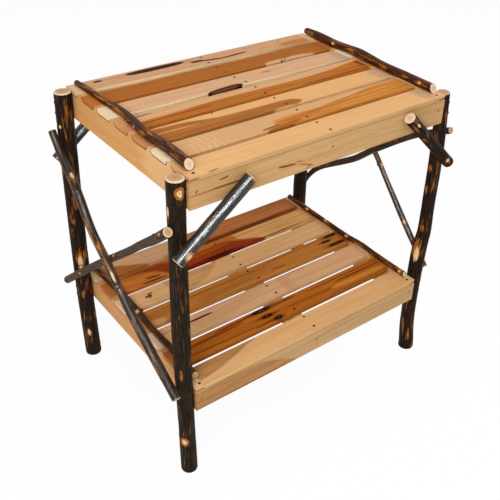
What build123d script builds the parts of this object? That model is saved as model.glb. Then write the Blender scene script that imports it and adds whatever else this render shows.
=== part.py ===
"""Rustic two-deck side table: bark-on hickory poles carry two slatted decks.

Each deck is a frame of four aprons with seven spaced slats on top. The end of
every slat is a tongue with rounded lower corners that drops into a scallop cut
in the end apron. The legs stand outside the end aprons, seated on planed flats,
and bark-on sticks brace the corners and cross between the legs at each end.

Frame: +X along the slats to the right, +Y to the back, +Z up. The origin is
on the floor under the middle of the top deck. All sizes are in millimetres.
"""
from build123d import *
import os
from math import pi, sin

# ---- Decks ------------------------------------------------------------------
DECK_LENGTH = 610.0          # over both end aprons
TOP_DEPTH = 457.0            # front face to back face of the top deck
SHELF_BACK_REACH = 17.0      # how much further back the shelf runs than the top
TOP_HEIGHT = 686.0           # floor to the top deck's upper surface
SHELF_HEIGHT = 220.0         # floor to the shelf's upper surface

SLAT_COUNT = 7
SLAT_WIDTH = 57.0            # equal gaps between the slats take up what is left
SLAT_THICKNESS = 9.5
EDGE_EASE = 0.8              # chamfer on long edges that a hand meets

APRON_THICKNESS = 19.0
TOP_APRON_HEIGHT = 52.0      # below the slats
SHELF_APRON_HEIGHT = 49.0
BATTEN_THICKNESS = 19.0      # it stands on edge under the slats
BATTEN_HEIGHT = 48.0
BATTEN_SHIFT = 6.0           # its middle to the right of the deck's middle

TONGUE_STEP = 1.0            # the tongue is this much narrower on each side
SCALLOP_RADIUS = 8.5         # rounding of the tongue's lower corners
SCALLOP_CLEARANCE = 0.2

# ---- Legs -------------------------------------------------------------------
LEG_DIAMETER = 36.0
LEG_FLAT = 1.0               # depth planed off where a leg meets a deck
LEG_INSET = 14.0             # leg axis in from the top deck's front and back
LEG_TOP_EASE = 3.0
LEG_FOOT_EASE = 2.0

# A pole is never straight. Each row is a height as a share of the whole leg,
# how far the pole wanders towards the back there, and its thickness there as a
# share of LEG_DIAMETER.
LEG_SHAPES = {
    "leg_front_left": (
        (0, -5, 0.98), (0.23, 1, 0.95), (0.53, 4, 1.0), (0.8, 4, 0.93), (1, 2, 0.94),
    ),
    "leg_front_right": (
        (0, -4, 1.06), (0.16, 3, 0.96), (0.42, 2, 0.99), (0.51, -5, 0.9), (0.6, -5, 0.84),
        (0.8, -4, 0.84), (1, 4, 0.8),
    ),
    "leg_back_left": (
        (0, 4, 1.05), (0.23, 11, 1.04), (0.45, 12, 1.01), (0.7, 4, 1.02), (1, -7, 1.0),
    ),
    "leg_back_right": (
        (0, 3, 1.04), (0.3, 10, 1.02), (0.6, 6, 1.0), (0.85, -4, 0.99), (1, -9, 0.98),
    ),
}
LEG_SECTIONS = 15

NAIL_DIAMETER = 3.0
NAIL_LENGTH = 65.0
NAIL_HEAD_DIAMETER = 6.5
NAIL_HEAD_THICKNESS = 1.2
NAIL_HEAD_SINK = 0.8         # how far the head lies below the bark
NAIL_CLEARANCE = 0.05
NAIL_SIDE_SHIFT = 7.0        # from the leg axis towards the nearer outer face
NAIL_SPOTS = (0.28, 0.72)    # heights as shares of the apron's height

# ---- Corner braces ----------------------------------------------------------
BRACE_DIAMETER = 25.0
BRACE_REACH = 130.0          # from the leg axis in to the sawn upper end
# Where the axis crosses the leg below the top apron, how far the upper end
# laps the apron, and the tail left past the leg.
BRACE_SHAPES = {
    "brace_front_left": (69, 35, 24),
    "brace_front_right": (82, 46, 12),
    "brace_back_left": (90, 20, 20),
    "brace_back_right": (76, 32, 18),
}

# ---- End sticks -------------------------------------------------------------
SEAT_GAP = 0.3               # between round sticks that lie on each other
STICK_EASE = 1.5             # chamfer round a sawn end
TWIG_BOW = 12.0              # how far a twig bows in towards the decks
DIAGONAL_BOW = 9.0           # first guess; the crossing sets how far it bows out
FIT_PASSES = 4
STICK_SECTIONS = 25
# Each stick runs from the back leg to the front leg. Its first row is its
# heights above the floor on the two legs, its tails past them and its diameter;
# the other rows are a share of the span, how far the stick strays upwards
# there, and its thickness there as a share of the diameter.
STICK_SHAPES = {
    "left_diagonal": (
        (592, 231, 11, 23, 19.0),
        (-0.03, 6, 0.88), (0.06, -11, 0.9), (0.2, -7, 1.0), (0.34, -23, 0.95),
        (0.47, -14, 0.96), (0.65, -18, 1.0), (0.87, -12, 1.06), (1.04, 4, 0.98),
    ),
    "left_twig": (
        (230, 586, 32, 21, 18.0),
        (-0.05, 0, 1.02), (0.34, 3, 0.98), (0.65, 0, 0.9), (0.8, 0, 0.94),
        (0.94, -2, 1.06), (1.04, 0, 1.06),
    ),
    "right_diagonal": (
        (606, 241, 10, 10, 14.5),
        (0, 0, 0.95), (0.2, 22, 0.95), (0.4, 39, 0.95), (0.54, 40, 0.93),
        (0.66, 27, 0.94), (0.86, 9, 1.07), (1.01, 1, 0.95),
    ),
    "right_twig": (
        (272, 590, 16, 16, 17.0),
        (-0.03, -6, 0.88), (0.03, 14, 0.9), (0.12, 22, 0.95), (0.32, 15, 1.0), (0.43, 12, 1.03),
        (0.56, 18, 1.0), (0.8, 20, 0.97), (0.9, 12, 0.95), (1.03, 0, 0.9),
    ),
}

# ---- Rails ------------------------------------------------------------------
RAIL_FLAT = 1.0              # depth planed off a rail's underside
RAIL_INSET = 17.0            # rail axis in from the deck's end
RAIL_BACK_SETBACK = 8.0      # sawn back end in front of the deck's back face
RAIL_SPARE = 6.0             # length ahead of the front saw cut, which takes it off
# The first row is how far the front end stands behind the deck's front face,
# the degrees that its saw cut leans back, and the diameter. The other rows are
# a share of the way from front to back, how far the rail strays towards the
# table's end, and its thickness there as a share of the diameter.
RAIL_SHAPES = {
    "top_rail_left": (
        (20, 28, 20.0),
        (0, 1, 1.02), (0.2, -2, 1.0), (0.36, 0, 0.94), (0.48, -6, 0.87),
        (0.6, -9, 0.8), (0.7, -8, 0.72), (0.86, -5, 0.68), (1, -2, 0.62),
    ),
    "top_rail_right": (
        (20, 24, 20.0),
        (0, 5, 0.97), (0.23, 8, 0.97), (0.38, 11, 0.94), (0.55, 17, 1.09),
        (0.63, 19, 0.98), (0.74, 16, 0.94), (0.88, 18, 0.99), (1, 22, 0.8),
    ),
    "shelf_rail_left": (
        (26, 8, 17.0),
        (0, 2, 1.05), (0.1, 0, 0.94), (0.24, -2, 0.85), (0.4, -1, 0.86),
        (0.6, -5, 0.9), (0.8, -5, 0.9), (1, -1, 0.88),
    ),
    "shelf_rail_right": (
        (18, 30, 14.0),
        (0, 5, 1.03), (0.27, 7, 0.95), (0.36, 9, 0.98), (0.43, 4, 1.05),
        (0.52, 3, 1.03), (0.8, 7, 0.92), (1, 8, 0.96),
    ),
}
RAIL_SECTIONS = 17

# ---- Knots ------------------------------------------------------------------
KNOT_DIAMETER = 9.0
KNOT_PROUD = 2.5             # how far a trimmed branch stands out of the bark
# Piece, share of its length, and the way the branch pointed.
KNOTS = (
    ("leg_front_left", 0.955, (-0.04, -1, 0)),
    ("leg_front_left", 0.075, (-0.5, -0.87, 0)),
    ("left_diagonal", 0.21, (-0.6, -0.5, 0.6)),
    ("left_diagonal", 0.56, (-0.5, -0.6, 0.6)),
    ("left_twig", 0.91, (-0.4, -0.2, 0.9)),
    ("right_diagonal", 0.58, (-0.9, 0, 0.4)),
    ("top_rail_left", 0.48, (-1, 0, 0.2)),
    ("top_rail_right", 0.76, (-1, 0, 0.4)),
    ("shelf_rail_left", 0.54, (1, 0, 0.5)),
    ("shelf_rail_right", 0.12, (-1, 0, 0.5)),
    ("shelf_rail_right", 0.83, (-1, 0, 0.5)),
)

FRONT, BACK = -1, 1
LEFT, RIGHT = -1, 1
OVERRUN = 1.0                # how far a cut passes the face that it opens
HALF_LENGTH = DECK_LENGTH / 2
FRONT_FACE = -TOP_DEPTH / 2
TOP_BACK_FACE = TOP_DEPTH / 2
SHELF_BACK_FACE = TOP_BACK_FACE + SHELF_BACK_REACH
TOP_UNDERSIDE = TOP_HEIGHT - SLAT_THICKNESS - TOP_APRON_HEIGHT
DECK_LEVELS = ((TOP_HEIGHT, TOP_APRON_HEIGHT), (SHELF_HEIGHT, SHELF_APRON_HEIGHT))
ON_BASE = (Align.CENTER, Align.CENTER, Align.MIN)


# ---- Drawing helpers --------------------------------------------------------
def smooth(rows, share, column):
    """Value of a column at a share of the length, on a smooth curve through the rows."""
    if share <= rows[0][0]:
        return rows[0][column]
    for i in range(len(rows) - 1):
        start, end = rows[i], rows[i + 1]
        if share <= end[0]:
            before, after = rows[max(i - 1, 0)], rows[min(i + 2, len(rows) - 1)]
            span = end[0] - start[0]
            leave = (end[column] - before[column]) / (end[0] - before[0]) * span
            arrive = (after[column] - start[column]) / (after[0] - start[0]) * span
            t = (share - start[0]) / span
            return (
                start[column] * (2 * t**3 - 3 * t**2 + 1)
                + leave * (t**3 - 2 * t**2 + t)
                + end[column] * (3 * t**2 - 2 * t**3)
                + arrive * (t**3 - t**2)
            )
    return rows[-1][column]


def limb(centres, radii, roll, eased=(0, -1)):
    """A round stick through the centres, with a chamfer round the ends named in eased."""
    sections = []
    for i, centre in enumerate(centres):
        along = centres[min(i + 1, len(centres) - 1)] - centres[max(i - 1, 0)]
        sections.append(Plane(centre, x_dir=roll, z_dir=along) * Circle(radii[i]))
    body = loft(sections)
    for end in eased:
        sawn = min(body.faces(), key=lambda face: (face.center() - centres[end]).length)
        body = chamfer(sawn.edges(), STICK_EASE)
    return body


def knot(centres, radii, share, way):
    """The stub of a trimmed branch, from inside the stick to just proud of its bark."""
    place = share * (len(centres) - 1)
    i = min(int(place), len(centres) - 2)
    centre = centres[i] + (centres[i + 1] - centres[i]) * (place - i)
    radius = radii[i] + (radii[i + 1] - radii[i]) * (place - i)
    out = Vector(*way).normalized()
    length = radius + KNOT_PROUD
    stub = Cone(KNOT_DIAMETER / 2 + KNOT_PROUD, KNOT_DIAMETER / 2, length, align=ON_BASE)
    return Plane(centre, z_dir=out) * stub


def with_knots(name, body, centres, radii):
    for owner, share, way in KNOTS:
        if owner == name:
            body += knot(centres, radii, share, way)
    return body


# ---- Decks ------------------------------------------------------------------
def slat_spans(front, back):
    """Front and back edge of each slat, from the front to the back of a deck."""
    pitch = (back - front - SLAT_WIDTH) / (SLAT_COUNT - 1)
    edges = [front + pitch * i for i in range(SLAT_COUNT)]
    return [(edge, edge + SLAT_WIDTH) for edge in edges]


def tongue_section(span, top, clearance=0.0, headroom=0.0):
    """End view of a slat's tongue, or with clearance the scallop that takes it."""
    width = span[1] - span[0] - 2 * TONGUE_STEP + 2 * clearance
    height = SLAT_THICKNESS + headroom
    outline = Rectangle(width, height, align=(Align.CENTER, Align.MIN))
    lower = outline.vertices().sort_by(Axis.Y)[:2]
    outline = fillet(lower, SCALLOP_RADIUS)
    middle = (0, (span[0] + span[1]) / 2, top - SLAT_THICKNESS)
    return Plane(middle, x_dir=(0, 1, 0), z_dir=(1, 0, 0)) * outline


def board(low, high, eased=None):
    """A rectangular board between two corners; eased picks its chamfered edges."""
    size = [b - a for a, b in zip(low, high)]
    body = Pos(*low) * Box(*size, align=(Align.MIN, Align.MIN, Align.MIN))
    if eased:
        body = chamfer(eased(body.edges()), EDGE_EASE)
    return body


def slat(span, top):
    """A slat with a tongue at each end and its long upper edges eased."""
    shoulder = HALF_LENGTH - APRON_THICKNESS - SCALLOP_CLEARANCE
    bottom = top - SLAT_THICKNESS
    body = board(
        (-shoulder, span[0], bottom), (shoulder, span[1], top),
        lambda edges: edges.filter_by(Axis.X).group_by(Axis.Z)[-1],
    )
    for side in (LEFT, RIGHT):
        tongue = extrude(tongue_section(span, top), side * HALF_LENGTH, dir=(1, 0, 0))
        tongue -= board(
            (-shoulder, span[0] - OVERRUN, bottom - OVERRUN),
            (shoulder, span[1] + OVERRUN, top + OVERRUN),
        )
        body += tongue
    return body


def end_apron(side, front, back, spans, top, height):
    """The end board between the long aprons, scalloped along its upper edge."""
    inner, outer = sorted((side * (HALF_LENGTH - APRON_THICKNESS), side * HALF_LENGTH))
    body = board(
        (inner, front + APRON_THICKNESS, top - SLAT_THICKNESS - height),
        (outer, back - APRON_THICKNESS, top),
    )
    for span in spans:
        section = tongue_section(span, top, SCALLOP_CLEARANCE, headroom=SLAT_THICKNESS)
        scallop = extrude(section, APRON_THICKNESS + 2 * OVERRUN, dir=(1, 0, 0))
        body -= Pos(inner - OVERRUN, 0, 0) * scallop
    return body


def long_apron(face, way, top, height):
    """A front or back board under the slats' edges, its outer lower edge eased."""
    low, high = sorted((face, face - way * APRON_THICKNESS))
    outer = 0 if way == FRONT else -1
    return board(
        (-HALF_LENGTH, low, top - SLAT_THICKNESS - height),
        (HALF_LENGTH, high, top - SLAT_THICKNESS),
        lambda edges: edges.filter_by(Axis.X).group_by(Axis.Z)[0].sort_by(Axis.Y)[outer],
    )


def deck(name, front, back, top, height):
    """Every board of one deck, keyed by node name."""
    spans = slat_spans(front, back)
    under = top - SLAT_THICKNESS
    boards = {f"{name}_slat_{i + 1}": slat(span, top) for i, span in enumerate(spans)}
    boards[f"{name}_apron_front"] = long_apron(front, FRONT, top, height)
    boards[f"{name}_apron_back"] = long_apron(back, BACK, top, height)
    boards[f"{name}_apron_left"] = end_apron(LEFT, front, back, spans, top, height)
    boards[f"{name}_apron_right"] = end_apron(RIGHT, front, back, spans, top, height)
    boards[f"{name}_batten"] = board(
        (BATTEN_SHIFT - BATTEN_THICKNESS / 2, front + APRON_THICKNESS, under - BATTEN_HEIGHT),
        (BATTEN_SHIFT + BATTEN_THICKNESS / 2, back - APRON_THICKNESS, under),
    )
    return boards


# ---- Legs -------------------------------------------------------------------
def leg_at(name, height):
    """Axis point and radius of a leg at a height above the floor."""
    side = LEFT if name.endswith("left") else RIGHT
    way = FRONT if "front" in name else BACK
    share = height / TOP_HEIGHT
    y = way * (TOP_DEPTH / 2 - LEG_INSET) + smooth(LEG_SHAPES[name], share, 1)
    radius = LEG_DIAMETER / 2 * smooth(LEG_SHAPES[name], share, 2)
    return Vector(side * (HALF_LENGTH + radius - LEG_FLAT), y, height), radius


def leg(name):
    """A pole with level ends, planed flat where it stands against each deck."""
    side = LEFT if name.endswith("left") else RIGHT
    heights = [TOP_HEIGHT * i / (LEG_SECTIONS - 1) for i in range(LEG_SECTIONS)]
    centres, radii = zip(*(leg_at(name, height) for height in heights))
    body = loft([Pos(*centre) * Circle(radius) for centre, radius in zip(centres, radii)])
    body = with_knots(name, body, centres, radii)
    flat_faces = body.faces().filter_by(Axis.Z).sort_by(Axis.Z)
    body = chamfer(flat_faces[-1].edges(), LEG_TOP_EASE)
    body = chamfer(body.faces().filter_by(Axis.Z).sort_by(Axis.Z)[0].edges(), LEG_FOOT_EASE)
    near, far = sorted((side * HALF_LENGTH, 0))
    for top, height in DECK_LEVELS:
        body -= board((near, -TOP_DEPTH, top - SLAT_THICKNESS - height), (far, TOP_DEPTH, top))
    return body


def nail_places():
    """Leg, head point and driving direction of each nail through a leg into a deck."""
    places = []
    for name in LEG_SHAPES:
        side = LEFT if name.endswith("left") else RIGHT
        way = FRONT if "front" in name else BACK
        for top, height in DECK_LEVELS:
            for spot in NAIL_SPOTS:
                level = top - SLAT_THICKNESS - height * (1 - spot)
                centre, radius = leg_at(name, level)
                bulge = (radius**2 - NAIL_SIDE_SHIFT**2) ** 0.5
                x = centre.X + side * (bulge - NAIL_HEAD_SINK)
                head = Vector(x, centre.Y + way * NAIL_SIDE_SHIFT, level)
                places.append((name, head, Vector(-side, 0, 0)))
    return places


def nail(head, way, clearance=0.0, lift=0.0):
    """A flat-headed nail, or with clearance and lift the hole that it fills."""
    extra = lift + clearance
    cap_radius = NAIL_HEAD_DIAMETER / 2 + clearance
    cap = Cylinder(cap_radius, NAIL_HEAD_THICKNESS + extra, align=ON_BASE)
    shank = Cylinder(NAIL_DIAMETER / 2 + clearance, NAIL_LENGTH + extra, align=ON_BASE)
    return Plane(head - way * lift, z_dir=way) * (cap + shank)


# ---- Braces, sticks and rails -----------------------------------------------
def brace_line(name):
    """A straight stick that lies on a leg and on the face of the top apron."""
    side = LEFT if name.endswith("left") else RIGHT
    way = FRONT if "front" in name else BACK
    drop, lap, tail = BRACE_SHAPES[name]
    radius = BRACE_DIAMETER / 2
    foot_z = TOP_UNDERSIDE - drop
    leg_centre, leg_radius = leg_at(name.replace("brace", "leg"), foot_z)
    on_leg = abs(leg_centre.Y) + leg_radius + radius + SEAT_GAP
    on_apron = TOP_DEPTH / 2 + radius + SEAT_GAP
    rise = drop + lap
    lean = max((on_apron - on_leg) / drop, (on_apron - on_leg) / rise)
    foot = Vector(leg_centre.X, way * on_leg, foot_z)
    head = Vector(leg_centre.X - side * BRACE_REACH, way * (on_leg + lean * rise), foot_z + rise)
    back_along = (foot - head).normalized()
    return [foot + back_along * tail, head], [radius, radius]


def end_stick_line(name, bow):
    """A stick across the outer faces of the two legs at one end, bowed out by bow."""
    hand = name.split("_")[0]
    side = LEFT if hand == "left" else RIGHT
    (back_z, front_z, back_tail, front_tail, diameter), *rows = STICK_SHAPES[name]
    back_leg, front_leg = f"leg_back_{hand}", f"leg_front_{hand}"
    ends = [leg_at(back_leg, back_z)[0], leg_at(front_leg, front_z)[0]]
    chord = ends[1] - ends[0]
    low, high = -back_tail / chord.length, 1 + front_tail / chord.length
    shares = [low + (high - low) * i / (STICK_SECTIONS - 1) for i in range(STICK_SECTIONS)]

    centres, radii = [], []
    for share in shares:
        swing = sin(pi * share) ** 2 if 0 < share < 1 else 0
        stray = Vector(side * bow * swing, 0, smooth(rows, share, 1))
        centres.append(ends[0] + chord * share + stray)
        radii.append(diameter / 2 * smooth(rows, share, 2))
    push_back = seat_push(back_leg, centres, radii)
    push_front = seat_push(front_leg, centres, radii)
    pushes = [push_back + (push_front - push_back) * share for share in shares]
    return [c + Vector(side * push, 0, 0) for c, push in zip(centres, pushes)], radii


def seat_push(leg_name, centres, radii):
    """How far along X a stick moves out to lie SEAT_GAP off the round of a leg."""
    pushes = []
    for i in range(len(centres) - 1):
        for t in (0, 0.25, 0.5, 0.75):
            point = centres[i] + (centres[i + 1] - centres[i]) * t
            radius = radii[i] + (radii[i + 1] - radii[i]) * t
            axis, leg_radius = leg_at(leg_name, point.Z)
            reach = leg_radius + radius + SEAT_GAP
            aside = point.Y - axis.Y
            if abs(aside) < reach:
                pushes.append((reach**2 - aside**2) ** 0.5 - abs(point.X - axis.X))
    return max(pushes)


def end_stick_lines(hand):
    """Both sticks of one end: the twig bows in, and the diagonal out over it."""
    twig = end_stick_line(f"{hand}_twig", -TWIG_BOW)
    bow = DIAGONAL_BOW
    for _ in range(FIT_PASSES):
        diagonal = end_stick_line(f"{hand}_diagonal", bow)
        bow += SEAT_GAP - crossing_gap(diagonal, twig)
    return {f"{hand}_diagonal": diagonal, f"{hand}_twig": twig}


def crossing_gap(outer, inner):
    """Space along X between two sticks where they cross, seen from the table's end."""
    for i in range(len(outer[0]) - 1):
        for j in range(len(inner[0]) - 1):
            a, b = outer[0][i], outer[0][i + 1]
            c, d = inner[0][j], inner[0][j + 1]
            turn = (b.Y - a.Y) * (d.Z - c.Z) - (b.Z - a.Z) * (d.Y - c.Y)
            t = ((c.Y - a.Y) * (d.Z - c.Z) - (c.Z - a.Z) * (d.Y - c.Y)) / turn
            u = ((c.Y - a.Y) * (b.Z - a.Z) - (c.Z - a.Z) * (b.Y - a.Y)) / turn
            if 0 <= t <= 1 and 0 <= u <= 1:
                apart = abs((a + (b - a) * t).X) - abs((c + (d - c) * u).X)
                outer_radius = outer[1][i] + (outer[1][i + 1] - outer[1][i]) * t
                inner_radius = inner[1][j] + (inner[1][j + 1] - inner[1][j]) * u
                return apart - outer_radius - inner_radius
    raise ValueError("the sticks do not cross")


def rail_line(name):
    """A bent rail along one end of a deck, from ahead of its front saw cut to its back end."""
    side = LEFT if name.endswith("left") else RIGHT
    on_top = name.startswith("top")
    top = TOP_HEIGHT if on_top else SHELF_HEIGHT
    back = TOP_BACK_FACE if on_top else SHELF_BACK_FACE
    (setback, _, diameter), *rows = RAIL_SHAPES[name]
    start, end = FRONT_FACE + setback - RAIL_SPARE, back - RAIL_BACK_SETBACK
    centres, radii = [], []
    for i in range(RAIL_SECTIONS):
        share = i / (RAIL_SECTIONS - 1)
        radius = diameter / 2 * smooth(rows, share, 2)
        x = side * (HALF_LENGTH - RAIL_INSET + smooth(rows, share, 1))
        centres.append(Vector(x, start + (end - start) * share, top + radius - RAIL_FLAT))
        radii.append(radius)
    return centres, radii


def rail(name):
    """A rail planed flat underneath, its front end sawn on the slant."""
    top = TOP_HEIGHT if name.startswith("top") else SHELF_HEIGHT
    setback, lean, _ = RAIL_SHAPES[name][0]
    centres, radii = rail_line(name)
    body = with_knots(name, limb(centres, radii, (1, 0, 0), eased=(-1,)), centres, radii)
    upright = Plane((0, FRONT_FACE + setback, top), x_dir=(1, 0, 0), z_dir=(0, -1, 0))
    body = split(body, upright.rotated((-lean, 0, 0)), keep=Keep.BOTTOM)
    return body - board((-DECK_LENGTH, -DECK_LENGTH, 0), (DECK_LENGTH, DECK_LENGTH, top))


def build_parts():
    parts = {
        **deck("top", FRONT_FACE, TOP_BACK_FACE, TOP_HEIGHT, TOP_APRON_HEIGHT),
        **deck("shelf", FRONT_FACE, SHELF_BACK_FACE, SHELF_HEIGHT, SHELF_APRON_HEIGHT),
    }
    for name in LEG_SHAPES:
        parts[name] = leg(name)
    for name in BRACE_SHAPES:
        parts[name] = limb(*brace_line(name), (0, 1, 0))
    for hand in ("left", "right"):
        for name, line in end_stick_lines(hand).items():
            parts[name] = with_knots(name, limb(*line, (1, 0, 0)), *line)
    for name in RAIL_SHAPES:
        parts[name] = rail(name)

    nails = []
    for leg_name, head, way in nail_places():
        hole = nail(head, way, NAIL_CLEARANCE, lift=2 * NAIL_HEAD_SINK)
        nails.append(nail(head, way))
        deck_name = "top" if head.Z > (TOP_HEIGHT + SHELF_HEIGHT) / 2 else "shelf"
        apron = "front" if "front" in leg_name else "back"
        parts[leg_name] -= hole
        parts[f"{deck_name}_apron_{apron}"] -= hole
    parts["leg_nails"] = Compound(children=[Part(n.wrapped) for n in nails])
    return parts


os.makedirs("parts", exist_ok=True)
for part_name, part in build_parts().items():
    export_step(part, f"parts/{part_name}.step")
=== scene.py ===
"""Looks of the rustic hickory side table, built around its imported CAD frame."""

import math
import random

import bmesh
import bpy
import numpy as np
from mathutils import Matrix, Vector, noise


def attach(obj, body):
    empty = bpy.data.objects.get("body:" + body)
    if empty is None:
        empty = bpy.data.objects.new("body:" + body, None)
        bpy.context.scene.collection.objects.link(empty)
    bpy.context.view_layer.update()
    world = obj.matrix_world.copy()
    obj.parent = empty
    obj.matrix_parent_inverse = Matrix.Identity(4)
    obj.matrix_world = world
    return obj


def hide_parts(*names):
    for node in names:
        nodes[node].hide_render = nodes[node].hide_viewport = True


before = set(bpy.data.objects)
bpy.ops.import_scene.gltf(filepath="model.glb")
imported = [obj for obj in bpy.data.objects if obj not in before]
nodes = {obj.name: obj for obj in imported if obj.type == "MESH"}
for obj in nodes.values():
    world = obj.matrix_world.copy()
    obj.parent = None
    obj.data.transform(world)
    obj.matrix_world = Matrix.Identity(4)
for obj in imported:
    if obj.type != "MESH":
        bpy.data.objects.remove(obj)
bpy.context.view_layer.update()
scene = bpy.context.scene
MM = 0.001


# ---- Camera -----------------------------------------------------------------
# Eye level of a standing person, looking down on the front left corner.
EYE = Vector((-0.84413, -1.11801, 1.26689))
AZIMUTH, ELEVATION, ROLL = (math.radians(angle) for angle in (-39.156, 32.808, 2.382))
FOCAL = 743.46                      # in pixels of a view 500 across
VIEW_WIDTH = 500.0
VIEW_CENTRE = (277.47, 226.22)      # where the optical axis meets the view
SENSOR = 36.0

back = Vector((
    math.sin(AZIMUTH) * math.cos(ELEVATION),
    -math.cos(AZIMUTH) * math.cos(ELEVATION),
    math.sin(ELEVATION),
))
level = (-back).cross(Vector((0, 0, 1))).normalized()
upright = level.cross(-back)
right = level * math.cos(ROLL) + upright * math.sin(ROLL)
up = upright * math.cos(ROLL) - level * math.sin(ROLL)

camera = bpy.data.objects.new("camera", bpy.data.cameras.new("camera"))
scene.collection.objects.link(camera)
camera.matrix_world = Matrix.Translation(EYE) @ Matrix((right, up, back)).transposed().to_4x4()
camera.data.sensor_width = SENSOR
camera.data.lens = FOCAL * SENSOR / VIEW_WIDTH
camera.data.shift_x = 0.5 - VIEW_CENTRE[0] / VIEW_WIDTH
camera.data.shift_y = VIEW_CENTRE[1] / VIEW_WIDTH - 0.5
scene.camera = camera
scene.view_settings.view_transform = "Standard"


# ---- Room -------------------------------------------------------------------
# A white floor and white surroundings, soft lamps from the front left, from above
# and from the right, and one that shows only as a sheen.
WHITE = (1.0, 1.0, 1.0, 1.0)
FLOOR_WHITE = (250, 250, 250)
FLOOR_SIZE = 14.0
FLOOR_GLOW = 0.95                   # the rest of the floor takes light and shadow
SKY_LIGHT = 0.45
LAMP_AIM = Vector((0, 0, 0.4))      # the middle of the table


def paint(colour, share=1.0):
    """A share of a colour given in display values from 0 to 255, as a linear colour."""
    return tuple((c * share / 255) ** 2.2 for c in colour) + (1.0,)


def new_piece(name, faces):
    """An object made of the faces gathered in a bmesh, which is then freed."""
    mesh = bpy.data.meshes.new(name)
    faces.to_mesh(mesh)
    faces.free()
    piece = bpy.data.objects.new(name, mesh)
    scene.collection.objects.link(piece)
    return piece


class Value:
    """A number that varies over a surface; sums with it add nodes to its finish."""

    def __init__(self, finish, socket):
        self.finish = finish
        self.socket = socket

    def maths(self, operation, *inputs):
        return self.finish.node(
            "ShaderNodeMath", {"operation": operation}, dict(enumerate(inputs)))

    def __add__(self, other):
        return self.maths("ADD", self, other)

    def __radd__(self, other):
        return self.maths("ADD", other, self)

    def __sub__(self, other):
        return self.maths("SUBTRACT", self, other)

    def __rsub__(self, other):
        return self.maths("SUBTRACT", other, self)

    def __mul__(self, other):
        return self.maths("MULTIPLY", self, other)

    def __rmul__(self, other):
        return self.maths("MULTIPLY", other, self)

    def __truediv__(self, other):
        return self.maths("DIVIDE", self, other)

    def __pow__(self, other):
        return self.maths("POWER", self, other)

    def __neg__(self):
        return self.maths("MULTIPLY", self, -1.0)

    def __abs__(self):
        return self.maths("ABSOLUTE", self)

    def sine(self):
        return self.maths("SINE", self)

    def largest(self, other):
        return self.maths("MAXIMUM", self, other)

    def rise(self, low, high):
        """0 below low, 1 above high and smooth between; falls where low is above high."""
        return self.finish.node(
            "ShaderNodeMapRange", {"interpolation_type": "SMOOTHSTEP"},
            {"Value": self, "From Min": low, "From Max": high})


class Finish:
    """A material, or the surroundings, and the nodes that vary it."""

    def __init__(self, owner):
        self.owner = owner
        owner.use_nodes = True
        self.tree = owner.node_tree

    def node(self, kind, settings=None, values=None, output=0):
        """Adds a node with its settings and inputs, and gives one of its outputs."""
        node = self.tree.nodes.new(kind)
        for key, value in (settings or {}).items():
            setattr(node, key, value)
        for key, value in (values or {}).items():
            self.put(node.inputs[key], value)
        return Value(self, node.outputs[output])

    def put(self, socket, value):
        """Links a varying value to a socket, or sets a plain one on it."""
        if isinstance(value, Value):
            self.tree.links.new(value.socket, socket)
        else:
            socket.default_value = value

    def split(self, vector):
        """The three parts of a vector."""
        parts = self.node("ShaderNodeSeparateXYZ", values={0: vector}).socket.node
        return [Value(self, parts.outputs[i]) for i in range(3)]

    def place(self):
        """Where a point lies on its piece: x, y and z in millimetres."""
        return [part / MM for part in self.split(self.node("ShaderNodeTexCoord", output="Object"))]

    def noise(self, x, y, z, detail=2.0, rough=0.5):
        place = self.node("ShaderNodeCombineXYZ", values={0: x, 1: y, 2: z})
        return self.node(
            "ShaderNodeTexNoise",
            values={"Vector": place, "Scale": 1.0, "Detail": detail, "Roughness": rough})

    def mix(self, share, first, second, blend="MIX"):
        """Two colours mixed; share 0 keeps the first."""
        return self.node(
            "ShaderNodeMix", {"data_type": "RGBA", "blend_type": blend},
            {0: share, 6: first, 7: second}, output=2)

    def dress(self, shader="Principled BSDF", **values):
        """Sets inputs of a shader that was there from the start, with _ for a space."""
        for key, value in values.items():
            self.put(self.tree.nodes[shader].inputs[key.replace("_", " ")], value)

    def bump(self, height, depth):
        """Raises the surface by height times depth, depth in millimetres."""
        self.dress(Normal=self.node("ShaderNodeBump", values={
            "Height": height, "Distance": depth * MM, "Strength": 1.0}))

    def brighten(self, bright, shader, ending, share=1.0):
        """Lays a bright shader over the first one where the eye, a gloss or glass sees it."""
        rays = self.node("ShaderNodeLightPath").socket.node
        seen, mirrored, through_glass = (
            Value(self, rays.outputs[f"Is {kind} Ray"])
            for kind in ("Camera", "Glossy", "Transmission"))
        both = self.node("ShaderNodeMixShader", values={
            0: seen.largest(mirrored).largest(through_glass) * share,
            1: Value(self, self.tree.nodes[shader].outputs[0]), 2: bright})
        self.put(self.tree.nodes[ending].inputs["Surface"], both)


sheet = bmesh.new()
bmesh.ops.create_grid(sheet, x_segments=1, y_segments=1, size=FLOOR_SIZE / 2)
floor = new_piece("floor", sheet)

white_floor = Finish(bpy.data.materials.new("white_floor"))
white_floor.dress(Base_Color=paint(FLOOR_WHITE), Roughness=0.9)
white_floor.brighten(
    white_floor.node("ShaderNodeEmission", values={"Color": WHITE, "Strength": 1.0}),
    "Principled BSDF", "Material Output", FLOOR_GLOW)
floor.data.materials.append(white_floor.owner)

surroundings = Finish(bpy.data.worlds.new("surroundings"))
surroundings.dress("Background", Color=WHITE, Strength=SKY_LIGHT)
surroundings.brighten(
    surroundings.node("ShaderNodeBackground", values={"Color": WHITE, "Strength": 1.0}),
    "Background", "World Output")
scene.world = surroundings.owner


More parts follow.
